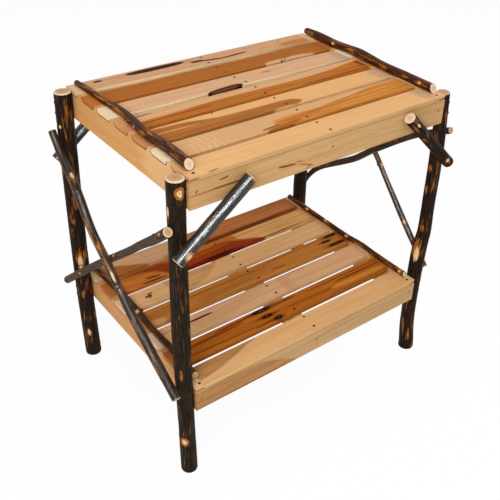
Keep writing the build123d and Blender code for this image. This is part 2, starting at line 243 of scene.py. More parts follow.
def lamp(name, place, size, watts):
    """A square soft lamp turned towards the middle of the table."""
    light = bpy.data.lights.new(name, "AREA")
    light.shape = "SQUARE"
    light.size = size
    light.energy = watts
    holder = bpy.data.objects.new(name, light)
    scene.collection.objects.link(holder)
    turn = (Vector(place) - LAMP_AIM).to_track_quat("Z", "Y")
    holder.matrix_world = Matrix.Translation(place) @ turn.to_matrix().to_4x4()
    return holder


lamp("key_lamp", (-2.1, -1.75, 1.9), 1.0, 44)
lamp("overhead_lamp", (-0.2, -0.6, 3.1), 1.5, 24)
lamp("side_lamp", (2.3, -0.2, 1.7), 0.9, 14)
glint = lamp("glint_lamp", (-1.6, -2.2, 2.2), 0.75, 300)
glint.data.color = (0.86, 0.93, 1.0)
glint.visible_diffuse = False       # it only draws the sheen along varnished bark


# ---- Legs -------------------------------------------------------------------
# Four hickory saplings with their bark left on and varnished over, sawn level at
# both ends, planed flat where they stand against the decks and nailed to them.
VOXEL = 1.3 * MM
MERGE = 0.01 * MM
CAD_MARGIN = 0.2                    # mm that every barked surface lies inside its CAD
SLABS = 40                          # steps in which a stick's middle line is found
SAWN_REACH = 1.2                    # a sawn face lies within so many radii of an end
SAWN_FROM, SAWN_RANGE = 0.5, 0.15   # and its normal points so much along the stick
LUMP = (16, 40)                     # mm across and along the stick
RIDGE = (4.5, 34)
SCUFF_STRENGTH = 0.62               # below 1, so that noise frays a scuff
SCUFF_DEPTH = 0.35                  # mm
CHANCE_LENGTHS = (10, 34)           # half sizes in mm of the scuffs that lie anywhere
CHANCE_WIDTHS = (2.5, 5)
CHANCE_STRENGTHS = (0.25, 0.7)
KNOT_LENGTH = 2.4                   # half sizes of a knot and its halo, in knot radii
KNOT_WIDTH = 2.0
POLE_RELIEF = 0.8                   # mm


def straighten(points):
    """Where points of a bent stick would lie if it were straight: two aside, one along, in mm."""
    points = points / MM
    middle = points.mean(0)
    _, axes = np.linalg.eigh(np.cov((points - middle).T))
    local = (points - middle) @ axes
    aside, along = local[:, :2], local[:, 2]
    edges = np.linspace(along.min(), along.max(), SLABS + 1)
    slab = np.clip(np.digitize(along, edges) - 1, 0, SLABS - 1)
    centres = np.array([
        (aside[slab == i].min(0) + aside[slab == i].max(0)) / 2 for i in range(SLABS)])
    stations = (edges[:-1] + edges[1:]) / 2
    for k in range(2):
        aside[:, k] -= np.interp(along, stations, centres[:, k])
    return np.column_stack((aside, along - along.min())), axes[:, 2]


def ripple(places, across, length, shift):
    """Noise from -1 to 1 over straightened places, drawn out along the stick."""
    scaled = places / (across, across, length) + shift
    return np.array([noise.noise(Vector(p)) for p in scaled])


def shown_at(points, normals, spot):
    """The point facing the eye that shows nearest to a spot in the view, by its number."""
    rays = points - np.array(EYE)
    depth = rays @ np.array(-back)
    across = VIEW_CENTRE[0] + FOCAL * (rays @ np.array(right)) / depth
    down = VIEW_CENTRE[1] - FOCAL * (rays @ np.array(up)) / depth
    off = np.hypot(across - spot[0], down - spot[1])
    off[(rays * normals).sum(1) > 0] += VIEW_WIDTH
    return int(off.argmin())


def field(places, centre, half_length, half_width):
    """1 at the centre of a mark, falling to 0 at its oval edge."""
    away = places - places[centre]
    reach = np.hypot(away[:, 2] / half_length, np.hypot(away[:, 0], away[:, 1]) / half_width)
    return np.clip(1 - reach, 0, None)


def barked(node, varnish, relief, seed, scuffs=(), pale=(), knots=(), chance_scuffs=5):
    """A finely meshed copy of a barked stick, its surface sunk unevenly inside the CAD.

    Scuffs and pale marks are spots in the view with half sizes along and across in mm,
    and knots are spots with a radius; chance_scuffs more scuffs lie anywhere.
    """
    faces = bmesh.new()
    faces.from_mesh(nodes[node].data)
    bmesh.ops.remove_doubles(faces, verts=faces.verts, dist=MERGE)
    bmesh.ops.recalc_face_normals(faces, faces=faces.faces)
    piece = new_piece(f"{node}_bark", faces)
    remesh = piece.modifiers.new("remesh", "REMESH")
    remesh.mode = "VOXEL"
    remesh.voxel_size = VOXEL
    bpy.context.view_layer.update()
    fine = piece.evaluated_get(bpy.context.evaluated_depsgraph_get())
    mesh = bpy.data.meshes.new_from_object(fine)
    piece.modifiers.clear()
    piece.data = mesh
    mesh.polygons.foreach_set("use_smooth", [True] * len(mesh.polygons))

    count = len(mesh.vertices)
    points = np.zeros(count * 3, np.float32)
    mesh.vertices.foreach_get("co", points)
    points = points.reshape(-1, 3).astype(float)
    normals = np.array([v.normal for v in mesh.vertices], float)
    places, axis = straighten(points)
    length = places[:, 2].max()
    radius = np.median(np.hypot(places[:, 0], places[:, 1]))
    near_end = np.minimum(places[:, 2], length - places[:, 2]) < SAWN_REACH * radius
    cut = np.clip((np.abs(normals @ axis) - SAWN_FROM) / SAWN_RANGE, 0, 1) * near_end

    def marked(spots):
        strength = np.zeros(count)
        for spot in spots:
            centre = shown_at(points, normals, spot)
            strength = np.maximum(strength, field(places, centre, *spot[2:]))
        return strength

    bare = SCUFF_STRENGTH * marked(scuffs)
    picks = random.Random(seed)
    for _ in range(chance_scuffs):
        oval = picks.uniform(*CHANCE_LENGTHS), picks.uniform(*CHANCE_WIDTHS)
        strength = picks.uniform(*CHANCE_STRENGTHS)
        bare = np.maximum(bare, strength * field(places, picks.randrange(count), *oval))
    marks = {
        "cut": cut, "bare": bare, "pale": marked(pale),
        "knot": marked((*spot, KNOT_LENGTH * size, KNOT_WIDTH * size) for *spot, size in knots),
        "girth": np.full(count, radius),
    }

    lumps = 0.5 + 0.5 * ripple(places, *LUMP, seed)
    ridges = np.abs(ripple(places, *RIDGE, seed + 20))
    depth = CAD_MARGIN + relief * (1 - cut) * (0.5 * lumps + 0.9 * ridges)
    depth += SCUFF_DEPTH * np.clip(bare * 3, 0, 1) * (1 - cut)
    points -= normals * depth[:, None] * MM
    mesh.vertices.foreach_set("co", points.astype(np.float32).ravel())
    straight = mesh.attributes.new("straight", "FLOAT_VECTOR", "POINT")
    straight.data.foreach_set("vector", places.astype(np.float32).ravel())
    for name, values in marks.items():
        attribute = mesh.attributes.new(name, "FLOAT", "POINT")
        attribute.data.foreach_set("value", values.astype(np.float32))
    mesh.materials.append(varnish)
    mesh.update()
    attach(piece, "root")
    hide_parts(node)


LICHEN = (96, 84, 72)               # grey bloom on bark, and paler dust in its pits
DUST = (140, 126, 110)
FRESH_WOOD = (206, 160, 104)        # wood where bark and stain are both gone
FRESH_FIBRE = (236, 208, 160)
KNOT_HALO = (184, 108, 42)          # a trimmed branch, from outside to its middle
KNOT_RIM = (74, 42, 20)
KNOT_WOOD = (222, 184, 128)
KNOT_PITH = (84, 50, 26)
SAPWOOD = (232, 204, 168)           # the ring just under the bark of a sawn end


def bark(name, dark, fibre_tone, scuff_tone, grey=0.5, gloss=0.06, smooth=0.0, rub=0.5,
         pith=(200, 154, 114)):
    """Varnished bark, worn through to wood at marks, with sawn ends and trimmed knots.

    rub is how much of it is rubbed to amber, pith the colour inside a sawn end, gloss
    the strength of its sheen and smooth how far that is drawn together. Noise is
    scaled per millimetre of the straightened stick.
    """
    skin = Finish(bpy.data.materials.new(name))

    def mark(key):
        return skin.node("ShaderNodeAttribute", {"attribute_name": key}, output="Fac")

    straight = skin.node("ShaderNodeAttribute", {"attribute_name": "straight"}, output="Vector")
    x, y, s = skin.split(straight)
    fibre = skin.noise(x * 0.85, y * 0.85, s * 0.05, 4, 0.6)
    strand = skin.noise(x * 0.4, y * 0.4, s * 0.022 + 7, 3)
    mottle = skin.noise(x * 0.09, y * 0.09, s * 0.02, 3)
    speck = skin.noise(x * 1.3, y * 1.3, s * 0.4 + 3, 3, 0.65)

    tone = skin.mix(fibre.rise(0.38, 0.7), paint(dark), paint(fibre_tone))
    tone = skin.mix(strand.rise(0.54, 0.74) * grey, tone, paint(LICHEN))
    tone = skin.mix(strand.rise(0.48, 0.3) * 0.8, tone, paint(dark, 0.45))
    patchy = mottle + (strand - 0.5) * 0.6
    amber = skin.mix(speck.rise(0.4, 0.6), paint(scuff_tone, 0.6), paint(scuff_tone))
    rubbed = patchy.rise(0.66 - 0.14 * rub, 0.76 - 0.14 * rub)
    tone = skin.mix(rubbed * (fibre.rise(0.4, 0.6) * 0.5 + 0.3), tone, amber)
    tone = skin.mix(speck.rise(0.68, 0.8) * 0.3, tone, paint(DUST))

    ragged = (fibre - 0.5) * 1.2 + (strand - 0.5) * 2.4 + (mottle - 0.5) * 1.6
    bare = mark("bare")
    worn = (bare + ragged * bare.rise(0.0, 0.15)).rise(0.1, 0.42)
    grain = skin.mix(fibre.rise(0.4, 0.62), paint(scuff_tone, 0.55), paint(scuff_tone))
    tone = skin.mix(worn * 0.92, tone, grain)
    pale = mark("pale")
    fresh = (pale + ragged * pale.rise(0.0, 0.2) * 0.5).rise(0.08, 0.4)
    tone = skin.mix(fresh, tone, skin.mix(fibre, paint(FRESH_WOOD), paint(FRESH_FIBRE)))

    knot = mark("knot")
    ring = knot + ((fibre - 0.5) * 0.1 + (strand - 0.5) * 0.25) * knot.rise(0.0, 0.1)
    tone = skin.mix(ring.rise(0.1, 0.35) * 0.9, tone, paint(KNOT_HALO))
    tone = skin.mix(ring.rise(0.4, 0.48) * 0.8, tone, paint(KNOT_RIM))
    tone = skin.mix(ring.rise(0.52, 0.6), tone, paint(KNOT_WOOD))
    tone = skin.mix(ring.rise(0.86, 0.95) * 0.8, tone, paint(KNOT_PITH))

    from_pith = (x * x + y * y) ** 0.5
    around = skin.noise(x * 0.2, y * 0.2, 5.0, 2)
    rings = ((from_pith + around * 2.5) * 3.4).sine() * 0.5 + 0.5
    crack = skin.noise(x * 0.5, y * 0.5, 2.0, 4, 0.7)
    share = from_pith / mark("girth")
    sawn = skin.mix(rings * 0.4, paint(pith), paint(pith, 0.8))
    sawn = skin.mix(crack.rise(0.55, 0.72) * 0.6, sawn, paint(pith, 0.66))
    sawn = skin.mix(share.rise(0.4, 0.0) * 0.5, sawn, paint(pith, 0.72))
    sawn = skin.mix(share.rise(0.68, 0.82) * 0.8, sawn, paint(SAPWOOD))
    sawn = skin.mix(share.rise(0.93, 1.0) * 0.8, sawn, paint(dark))
    cut = mark("cut")
    tone = skin.mix(cut.rise(0.35, 0.65), tone, sawn)

    dull = cut.largest(worn * 0.5)
    skin.dress(
        Base_Color=tone, Specular_IOR_Level=gloss,
        Roughness=0.5 + fibre * 0.2 - smooth * (1 - dull) * (0.6 + speck * 0.8))
    skin.bump(fibre * 0.6 + strand + speck * 0.3, 0.6)
    return skin.owner


POLE_BARK = bark("pole_bark", (26, 18, 11), (56, 42, 25), (178, 116, 58), grey=0.35, rub=0.1)
WORN_POLE_BARK = bark(
    "worn_pole_bark", (24, 14, 8), (54, 36, 19), (182, 112, 48), grey=0.2, rub=0.6)

barked(
    "leg_front_left", POLE_BARK, POLE_RELIEF, seed=3, chance_scuffs=3,
    scuffs=((167.5, 216, 18, 4.5), (181, 376, 18, 4), (178, 408, 12, 6.5)),
    pale=((167.5, 212, 12, 3.5),),
    knots=((180, 194, 6), (184.4, 442.6, 6)))
barked(
    "leg_front_right", WORN_POLE_BARK, POLE_RELIEF, seed=5, chance_scuffs=3,
    scuffs=((416, 250, 42, 15), (430, 169, 12, 7), (422, 228, 12, 7), (403, 322, 34, 5),
            (408, 334, 22, 4), (412, 205, 16, 4), (426, 190, 14, 4)),
    pale=((416, 255, 26, 8),))
barked(
    "leg_back_left", WORN_POLE_BARK, POLE_RELIEF, seed=7, chance_scuffs=3,
    scuffs=((74.5, 222, 13, 8), (80.5, 258, 36, 14), (83.5, 294, 16, 6), (89.5, 336, 28, 9)),
    pale=((55.3, 123.8, 6, 5), (59.8, 127, 5, 4), (81, 262, 20, 7), (89.5, 333, 14, 5)),
    knots=((81, 267.6, 4),))
barked("leg_back_right", POLE_BARK, POLE_RELIEF, seed=9, chance_scuffs=9)


# ---- Aprons and battens -----------------------------------------------------
# Sawn hickory boards under satin varnish. The end boards are scalloped along the
# top for the slats; a batten on edge crosses under the middle of each deck.
DECK_HEIGHTS = {"top": 686.0, "shelf": 220.0}
TOP_APRON = 650.0                   # heights in mm of the aprons' middles
SHELF_APRON = 186.0
SLAT_THICK = 9.5                    # mm, as are the sizes of a slat's tongue below
TONGUE_HALF = 27.5
TONGUE_ROUND = 8.5
TONGUE_START = 286.0
CURVE_REACH = 320.0                 # half of the length that a drawn line may span, in mm
CURVE_RISE = 60.0                   # and half of its rise either side of the board's middle
LONG_BOARD = "xzy"                  # the axes along, across and through an apron
END_BOARD = "yzx"
SLAT = "xyz"

KNOT_STAIN = (116, 54, 16)          # a knot in a board, from outside to its middle
KNOT_DARK = (30, 11, 5)
KNOT_CORE = (104, 72, 46)
# painted shade round a tongue's end, where it sits in its scallop
TONGUE_RIM_SHADE = (112, 54, 22)
# painted shade along the seam between the slats and the boards under them
SEAM_SHADE = (84, 50, 26)
SIDE_SHADE = (0.78, 0.86, 0.88, 1.0)    # faces to the front are greener and darker
SAP = (222, 172, 118)               # pale apron wood and its darker bands
SAP_BAND = (212, 158, 102)
SAP_ENDS = (215, 157, 98)
FLECK = (128, 64, 34)
BATTEN_WOOD = ((214, 168, 116), (196, 146, 96))


def drawn_line(wood, along, middle, points):
    """The height across a board, at each place along it, of a smooth line through points."""
    curve = wood.node("ShaderNodeFloatCurve", values={1: along / (2 * CURVE_REACH) + 0.5})
    mapping = curve.socket.node.mapping
    dots = mapping.curves[0].points
    places = [
        ((px / CURVE_REACH + 1) / 2, ((py - middle) / CURVE_RISE + 1) / 2) for px, py in points]
    while len(dots) < len(places):
        dots.new(0.5, 0.5)
    for dot, place in zip(dots, places):
        dot.location = [min(max(p, 0.0), 1.0) for p in place]
    mapping.update()
    return (curve - 0.5) * (2 * CURVE_RISE) + middle


def timber(name, order, middle, light, warm, hearts=(), strokes=(), patches=(), knots=(),
           curl=None, seed=0.0, top=None, tongue=None, joint=None):
    """A varnished board with its own figure.

    order names the axes along, across and through it, middle is its centre line across
    and top, for a slat with tongues, the height of its upper face. tongue is the colour
    of their ends and joint the height of a seam, along which the front faces get a painted line of
    shade.
    Hearts are bands (lower line, upper line, colour, softness), strokes are tapered
    streaks (from, to, half width, colour), patches and knots are ovals and curl is a
    wavy stretch (from, to, colour); all in mm, with noise scaled per millimetre.
    """
    wood = Finish(bpy.data.materials.new(name))
    axes = dict(zip("xyz", wood.place()))
    along, across, through = (axes[letter] for letter in order)
    fine = wood.noise(along * 0.03 + seed, across * 0.9, through * 0.9, 4, 0.6)
    broad = wood.noise(along * 0.006 + seed, across * 0.13, through * 0.13, 3)
    drift = wood.noise(along * 0.011, across * 0.05 + seed, through * 0.05, 2)
    pores = wood.noise(along * 0.11 + seed, across * 1.9, through * 1.9, 2)
    wander = across + (drift - 0.5) * 7 + (fine - 0.5) * 2.5
    lines = ((across * 0.17 + through * 0.11 + drift * 4.5) * (2 * math.pi)).sine()

    def from_oval(px, py, wide, high):
        return (((along - px) / wide) ** 2 + ((across - py) / high) ** 2) ** 0.5

    tone = wood.mix(broad.rise(0.35, 0.7), paint(light), paint(warm))
    for lower, upper, colour, soft in hearts:
        low = drawn_line(wood, along, middle, lower)
        high = drawn_line(wood, along, middle, upper)
        inside = (wander - low).rise(-soft, soft) * (high - wander).rise(-soft, soft)
        deep = wood.mix(broad.rise(0.3, 0.7), paint(colour), paint(colour, 0.86))
        tone = wood.mix(inside * 0.95, tone, deep)
    for *oval, colour in patches:
        off = from_oval(*oval) + (drift - 0.5) * 0.7
        tone = wood.mix(off.rise(1.15, 0.6) * 0.8, tone, paint(colour))
    if curl:
        start, end, colour = curl
        wave = (along * 0.5 + drift * 12 + across * 0.02).sine().rise(0.2, 1.0)
        window = (along - start).rise(-8.0, 25.0) * (end - along).rise(-8.0, 25.0)
        tone = wood.mix(wave * window * 0.2, tone, paint(colour))
    for (ax, ay), (bx, by), half, colour in strokes:
        share = (along - ax) / (bx - ax)
        width = (1 - abs(share * 2 - 1) ** 3).largest(0.0) ** 0.5 * half
        off = abs(across + (drift - 0.5) * 3 - (share * (by - ay) + ay)) + (fine - 0.5) * 1.5
        streak = (width - off).rise(-0.6, 1.2) * width.rise(0.0, 0.5 * half)
        tone = wood.mix(streak, tone, paint(colour))
    for oval in knots:
        off = from_oval(*oval) + (drift - 0.5) * 0.4 + (fine - 0.5) * 0.3
        tone = wood.mix(off.rise(2.3, 0.9) * 0.7, tone, paint(KNOT_STAIN))
        tone = wood.mix(off.rise(1.2, 0.75), tone, paint(KNOT_DARK))
        tone = wood.mix(off.rise(0.45, 0.2) * 0.6, tone, paint(KNOT_CORE))

    shade = 1 - lines.rise(0.55, 1.0) * broad.rise(0.3, 0.6) * 0.045
    shade = shade * (1 - fine.rise(0.5, 0.75) * 0.09) * (1 - pores.rise(0.62, 0.74) * 0.1)
    tone = wood.mix(1.0, tone, shade, "MULTIPLY")
    facing = wood.split(wood.node("ShaderNodeNewGeometry", output="Normal"))
    front = (-facing[1]).rise(0.6, 0.95)
    tone = wood.mix(front * 0.75, tone, SIDE_SHADE, "MULTIPLY")
    end = abs(facing["xyz".index(order[0])]).rise(0.6, 0.95)
    dots = wood.noise(across * 0.8, through * 0.8, seed, 3, 0.7)
    tone = wood.mix(end * dots.rise(0.45, 0.7) * 0.4, tone, paint(warm, 0.66))
    if top:
        # Painted shade: the tongue's end darkens at its rim, where it drops into the scallop.
        side = abs(across - middle) - (TONGUE_HALF - TONGUE_ROUND)
        drop = (top - SLAT_THICK + TONGUE_ROUND) - through
        corner = (side.largest(0.0) ** 2 + drop.largest(0.0) ** 2) ** 0.5
        reach = abs(along).rise(TONGUE_START - 1, TONGUE_START + 1)
        if tongue:
            tone = wood.mix(reach * (0.5 + fine * 0.6), tone, paint(tongue))
        rim_shade = (corner + (fine - 0.5) * 2.0).rise(TONGUE_ROUND - 3.4, TONGUE_ROUND - 1.4)
        tone = wood.mix(rim_shade * reach * end * 0.9, tone, paint(TONGUE_RIM_SHADE))
    # Painted shade: a dark line on the front faces along the seam at the joint's height.
    if joint:
        line = abs(axes["z"] + (fine - 0.5) * 0.9 - joint).rise(1.0, 0.35) * front
        tone = wood.mix(line * 0.65, tone, paint(SEAM_SHADE))
    wood.dress(Base_Color=tone, Roughness=0.45 + fine * 0.14, Specular_IOR_Level=0.03)
    wood.bump(fine + pores * -0.6 + lines * 0.1, 0.22)
    return wood.owner


def finish_board(node, *figure, **details):
    """Gives a CAD board its own wood; the board itself stays as the CAD made it."""
    height = DECK_HEIGHTS[node.split("_")[0]]
    if "slat" in node:
        details["top"] = height
    if "batten" not in node:
        details["joint"] = height - SLAT_THICK
    board = nodes[node].data
    board.materials.clear()
    board.materials.append(timber(f"{node}_wood", *figure, **details))


finish_board(
    "top_apron_front", LONG_BOARD, TOP_APRON, SAP, SAP_BAND, seed=21.0,
    strokes=(((-310, 650), (-180, 652), 2.6, (190, 122, 80)),
             ((-262, 652), (-196, 651), 2.2, (160, 84, 50)),
             ((-248, 665), (-226, 667), 1.6, FLECK), ((-124, 650), (-82, 646), 2.4, FLECK),
             ((-76, 642), (-40, 631), 1.8, (176, 104, 62)), ((-60, 628), (-44, 634), 1.4, FLECK),
             ((-84, 650), (-66, 647), 1.4, (170, 100, 60)),
             ((20, 655), (300, 630), 0.9, (196, 146, 96)),
             ((60, 668), (260, 640), 0.8, (198, 148, 98))))
finish_board("top_apron_back", LONG_BOARD, TOP_APRON, SAP, SAP_BAND, seed=22.0)
finish_board(
    "top_apron_left", END_BOARD, TOP_APRON, SAP_ENDS, (210, 150, 92), seed=23.0,
    patches=((-190, 650, 130, 70, (228, 180, 128)),))
finish_board("top_apron_right", END_BOARD, TOP_APRON, SAP_ENDS, SAP_BAND, seed=24.0)
finish_board("top_batten", END_BOARD, TOP_APRON, *BATTEN_WOOD, seed=25.0)
finish_board(
    "shelf_apron_front", LONG_BOARD, SHELF_APRON, (212, 166, 118), (202, 152, 102), seed=26.0,
    hearts=((((-310, 120), (310, 120)),
             ((-310, 205), (-180, 209), (-100, 188), (-50, 163), (-20, 140), (310, 140)),
             (196, 138, 86), 4),),
    strokes=(((-240, 166), (-50, 162), 2.2, (158, 90, 50)),
             ((100, 178), (300, 200), 1, (190, 140, 92))))
finish_board("shelf_apron_back", LONG_BOARD, SHELF_APRON, SAP, SAP_BAND, seed=27.0)
finish_board(
    "shelf_apron_left", END_BOARD, SHELF_APRON, (208, 152, 100), (200, 144, 94), seed=28.0)
finish_board("shelf_apron_right", END_BOARD, SHELF_APRON, SAP_ENDS, SAP_BAND, seed=29.0)
finish_board("shelf_batten", END_BOARD, SHELF_APRON, *BATTEN_WOOD, seed=30.0)


# ---- Slats of the top -------------------------------------------------------
# Seven boards of 57 mm, each sawn from a different part of the log, so pale
# sapwood lies beside orange and brown heartwood. Tongues drop into the end boards.
PINK = (206, 156, 114)
TAN = (225, 173, 118)
ORANGE = (172, 102, 44)
OCHRE = (209, 133, 54)
RUST = (130, 48, 12)
UMBER = (58, 14, 0)
RAIL_SHADE = (192, 156, 122)             # painted shade and reflection of the right rail on the slats beside it

finish_board(
    "top_slat_1", SLAT, -200, TAN, (218, 166, 112), seed=1.0, tongue=(218, 164, 114),
    # the patch beside the right rail is painted shade and reflection of that rail
    patches=((-306, -200, 16, 24, (190, 118, 64)), (276, -196, 24, 44, RAIL_SHADE)),
    strokes=(((-268, -227), (-246, -226), 1.5, RUST),))
finish_board(
    "top_slat_2", SLAT, -133, (206, 158, 112), (214, 163, 110), seed=2.0,
    tongue=(244, 222, 184),
    hearts=((((-310, -192), (310, -192)),
             ((-310, -185), (-108, -182), (-92, -160), (-70, -150), (-60, -131), (-10, -128),
              (50, -130), (100, -125), (150, -120), (200, -111), (310, -111)), OCHRE, 2.5),),
    strokes=(((-100, -166), (-10, -152), 7, (166, 96, 40)),
             ((-60, -142), (70, -138), 5, (180, 106, 42)),
             ((-104, -155), (-58, -149), 3, (120, 84, 58)),
             ((20, -178), (300, -172), 3, (178, 102, 34)),
             ((20, -160), (300, -160), 1.6, ORANGE), ((60, -128), (200, -120), 1.5, (166, 92, 34))),
    curl=(-250, -176, (240, 212, 170)))
finish_board(
    "top_slat_3", SLAT, -67, (222, 167, 110), (223, 170, 114), seed=3.0,
    tongue=(204, 136, 88),
    # the patch beside the right rail is painted shade and reflection of that rail
    patches=((276, -58, 24, 44, RAIL_SHADE),),
    hearts=((((-310, -104), (-60, -104), (-10, -93), (30, -94), (50, -84), (310, -60)),
             ((-310, -40), (-260, -43), (-200, -48), (-150, -60), (-50, -66), (20, -68),
              (46, -82), (60, -100), (310, -110)), (173, 104, 45), 3),),
    strokes=(((-141, -44), (-130, -36), 1.6, UMBER),
             ((120, -91), (290, -91), 1.5, (190, 160, 118)),
             ((-300, -62), (-180, -66), 2.4, (206, 140, 74)),
             ((-260, -84), (-40, -84), 2, (146, 80, 28))))
finish_board(
    "top_slat_4", SLAT, 0, (214, 162, 116), PINK, seed=4.0, tongue=(206, 140, 98),
    hearts=((((-310, -45), (310, -45)),
             ((-310, -3), (-100, 4), (150, 4), (200, 8), (250, 15), (310, 21)),
             (186, 108, 30), 2.5),
            (((-310, 12), (-60, 16), (310, 24)), ((-310, 45), (310, 45)), (222, 172, 120), 5)),
    strokes=(((-306, 21), (-226, 21), 2.0, UMBER), ((-290, -11), (-110, -9), 2.2, RUST),
             ((90, -25), (300, -25), 2.5, RUST), ((-250, -22), (60, -20), 1.2, (166, 98, 46))),
    knots=((292, -3, 11, 10), (289, 11, 8, 5)))
finish_board(
    "top_slat_5", SLAT, 67, (213, 166, 127), (205, 157, 116), seed=5.0,
    tongue=(240, 216, 180),
    # the patch beside the right rail is painted shade and reflection of that rail
    patches=((278, 72, 22, 44, RAIL_SHADE),),
    hearts=((((-310, 30), (310, 30)),
             ((-310, 47), (-140, 45), (40, 42), (310, 40)), (242, 206, 160), 2),),
    strokes=(((-94, 37), (-4, 44), 10, UMBER), ((-84, 38), (-14, 42), 4, (104, 60, 34)),
             ((66, 74), (90, 73), 2.4, (140, 96, 60))))
finish_board(
    "top_slat_6", SLAT, 133, (168, 99, 38), (161, 92, 36), seed=6.0, tongue=(190, 112, 58),
    hearts=((((-310, 90), (310, 90)),
             ((-310, 96), (95, 96), (108, 116), (160, 117), (232, 110), (250, 96), (310, 96)),
             (218, 170, 124), 3),),
    strokes=(((138, 98), (152, 113), 3, (96, 74, 56)), ((150, 104), (166, 118), 2, (120, 90, 66))))
finish_board(
    "top_slat_7", SLAT, 200, PINK, (198, 148, 108), seed=7.0, tongue=(226, 186, 142),
    patches=((243, 187, 50, 17, (178, 112, 52)),),
    hearts=((((-310, 165), (310, 165)),
             ((-310, 179), (-120, 178), (120, 172), (310, 170)), (236, 202, 152), 2),),
    strokes=(((-182, 214), (-38, 214), 9, UMBER), ((-254, 214), (-234, 214), 4.5, UMBER),
             ((-238, 213), (-176, 213), 1.3, RUST), ((-46, 215), (-14, 212), 1.3, RUST),
             ((-30, 203), (4, 201), 5, UMBER), ((-6, 200), (50, 190), 3.5, UMBER),
             ((34, 190), (114, 195), 4, (104, 44, 20)), ((148, 192), (170, 198), 1.3, ORANGE),
             ((206, 204), (228, 222), 1.5, ORANGE)))


# ---- Slats of the shelf -----------------------------------------------------
# Seven more boards of the same width, set a little further apart. They hold more
# knots and more of the red heartwood.
finish_board(
    "shelf_slat_1", SLAT, -200, (228, 178, 122), (220, 168, 114), seed=11.0,
    tongue=(226, 184, 136),
    hearts=((((-310, -216), (-270, -212), (-130, -175), (-80, -160), (310, -150)),
             ((-310, -150), (310, -150)), (198, 140, 82), 2),))
finish_board(
    "shelf_slat_2", SLAT, -130, (183, 108, 36), (168, 95, 32), seed=12.0,
    tongue=(190, 116, 60),
    strokes=(((-300, -122), (-110, -118), 4, (136, 66, 16)),
             ((-310, -142), (-90, -147), 3.5, (150, 80, 20)),
             ((-20, -134), (160, -138), 5, (158, 84, 20)),
             ((120, -138), (304, -145), 7, (202, 130, 52)),
             ((60, -116), (300, -114), 3, (152, 80, 20)),
             ((-106, -151), (-44, -150), 2.5, RUST), ((140, -125), (300, -125), 2.6, RUST),
             ((96, -156), (300, -156), 2.2, (140, 74, 34)), ((-190, -112), (-70, -111), 2.6, RUST),
             ((-40, -111), (40, -110), 2.4, RUST), ((-96, -132), (-20, -133), 2, (104, 44, 12))),
    knots=((-60, -110, 26, 5), (-60, -132, 14, 4.5), (-42, -150, 11, 5.5)))
finish_board(
    "shelf_slat_3", SLAT, -61, (228, 178, 130), (218, 168, 120), seed=13.0,
    tongue=(236, 206, 170),
    patches=((50, -65, 18, 40, (214, 160, 122)),),
    strokes=(((-214, -52), (-148, -52), 3, UMBER), ((-300, -55), (-206, -52), 1.2, (176, 100, 60)),
             ((58, -36), (132, -37), 1.2, (170, 90, 52))))
finish_board(
    "shelf_slat_4", SLAT, 8, (196, 128, 58), (181, 112, 49), seed=14.0,
    tongue=(196, 128, 74),
    patches=((-268, -12, 34, 11, TAN),),
    strokes=(((-160, 1), (4, -1), 1.6, (140, 78, 36)), ((52, -2), (94, -4), 2.2, (132, 70, 34)),
             ((-240, 22), (60, 18), 3, (166, 96, 34)), ((20, 26), (240, 30), 3, (176, 100, 36)),
             ((-120, -14), (140, -16), 2.4, (206, 138, 70))),
    knots=((262, 30, 20, 5), (238, 15, 15, 4), (255, -6, 26, 5)))
finish_board(
    "shelf_slat_5", SLAT, 78, (238, 187, 130), (230, 175, 118), seed=15.0,
    tongue=(236, 206, 166),
    hearts=((((-310, 135), (-195, 135), (-170, 44), (-150, 45), (-30, 107), (0, 135), (310, 135)),
             ((-310, 135), (310, 135)), (220, 166, 108), 5),),
    strokes=(((-245, 77), (-226, 78), 3.4, UMBER), ((-236, 83), (-222, 86), 2.6, UMBER),
             ((-238, 70), (-228, 74), 2, UMBER)))
finish_board(
    "shelf_slat_6", SLAT, 147, (206, 126, 54), (192, 108, 44), seed=16.0,
    tongue=(190, 116, 62),
    # Painted light: the first heart is paler than the wood itself, to make up for the shade under
    # the top deck.
    hearts=((((-310, 205), (44, 205), (64, 150), (80, 142), (104, 131), (128, 117), (150, 95),
              (310, 95)),
             ((-310, 205), (310, 205)), (248, 188, 118), 5),
            (((-310, 150), (-240, 166), (-175, 150), (-125, 110), (310, 106)),
             ((-310, 90), (-262, 170), (-175, 176), (-120, 166), (-50, 160), (26, 160), (60, 146),
              (104, 130), (130, 112), (150, 95), (310, 95)), (156, 62, 10), 7)),
    strokes=(((-120, 118), (60, 118), 8, (130, 36, 4)), ((-64, 122), (34, 122), 3, UMBER),
             ((40, 121), (250, 121), 1.8, RUST), ((-140, 146), (40, 150), 5, (178, 84, 22)),
             ((-208, 138), (-172, 133), 3.5, RUST), ((-226, 124), (-160, 122), 3, (96, 42, 20))))
finish_board(
    "shelf_slat_7", SLAT, 217, (224, 178, 134), (214, 164, 120), seed=17.0,
    tongue=(232, 196, 150),
    hearts=((((-310, 165), (310, 165)),
             ((-310, 165), (-78, 165), (-52, 268), (310, 268)), (204, 123, 66), 5),
            (((-310, 165), (310, 165)),
             ((-310, 262), (-250, 226), (-165, 184), (-140, 165), (310, 165)),
             (190, 113, 51), 4)),
    strokes=(((-140, 190), (300, 190), 2.6, (132, 66, 32)),))


# ---- Corner braces ----------------------------------------------------------
# Short straight lengths of thinner sapling, sawn square, nailed across each
# corner from the leg to the apron. Those on the left have the glossier bark.
BRACE_RELIEF = 0.45
BRACE_PITH = (226, 194, 158)
GLOSSY_BRACE_BARK = bark(
    "glossy_brace_bark", (26, 20, 17), (62, 52, 46), (170, 110, 54), grey=0.5, gloss=0.4,
    smooth=0.34, rub=0.2, pith=BRACE_PITH)
BRACE_BARK = bark(
    "brace_bark", (24, 15, 9), (50, 34, 20), (182, 112, 48), grey=0.15, rub=0.4,
    pith=BRACE_PITH)

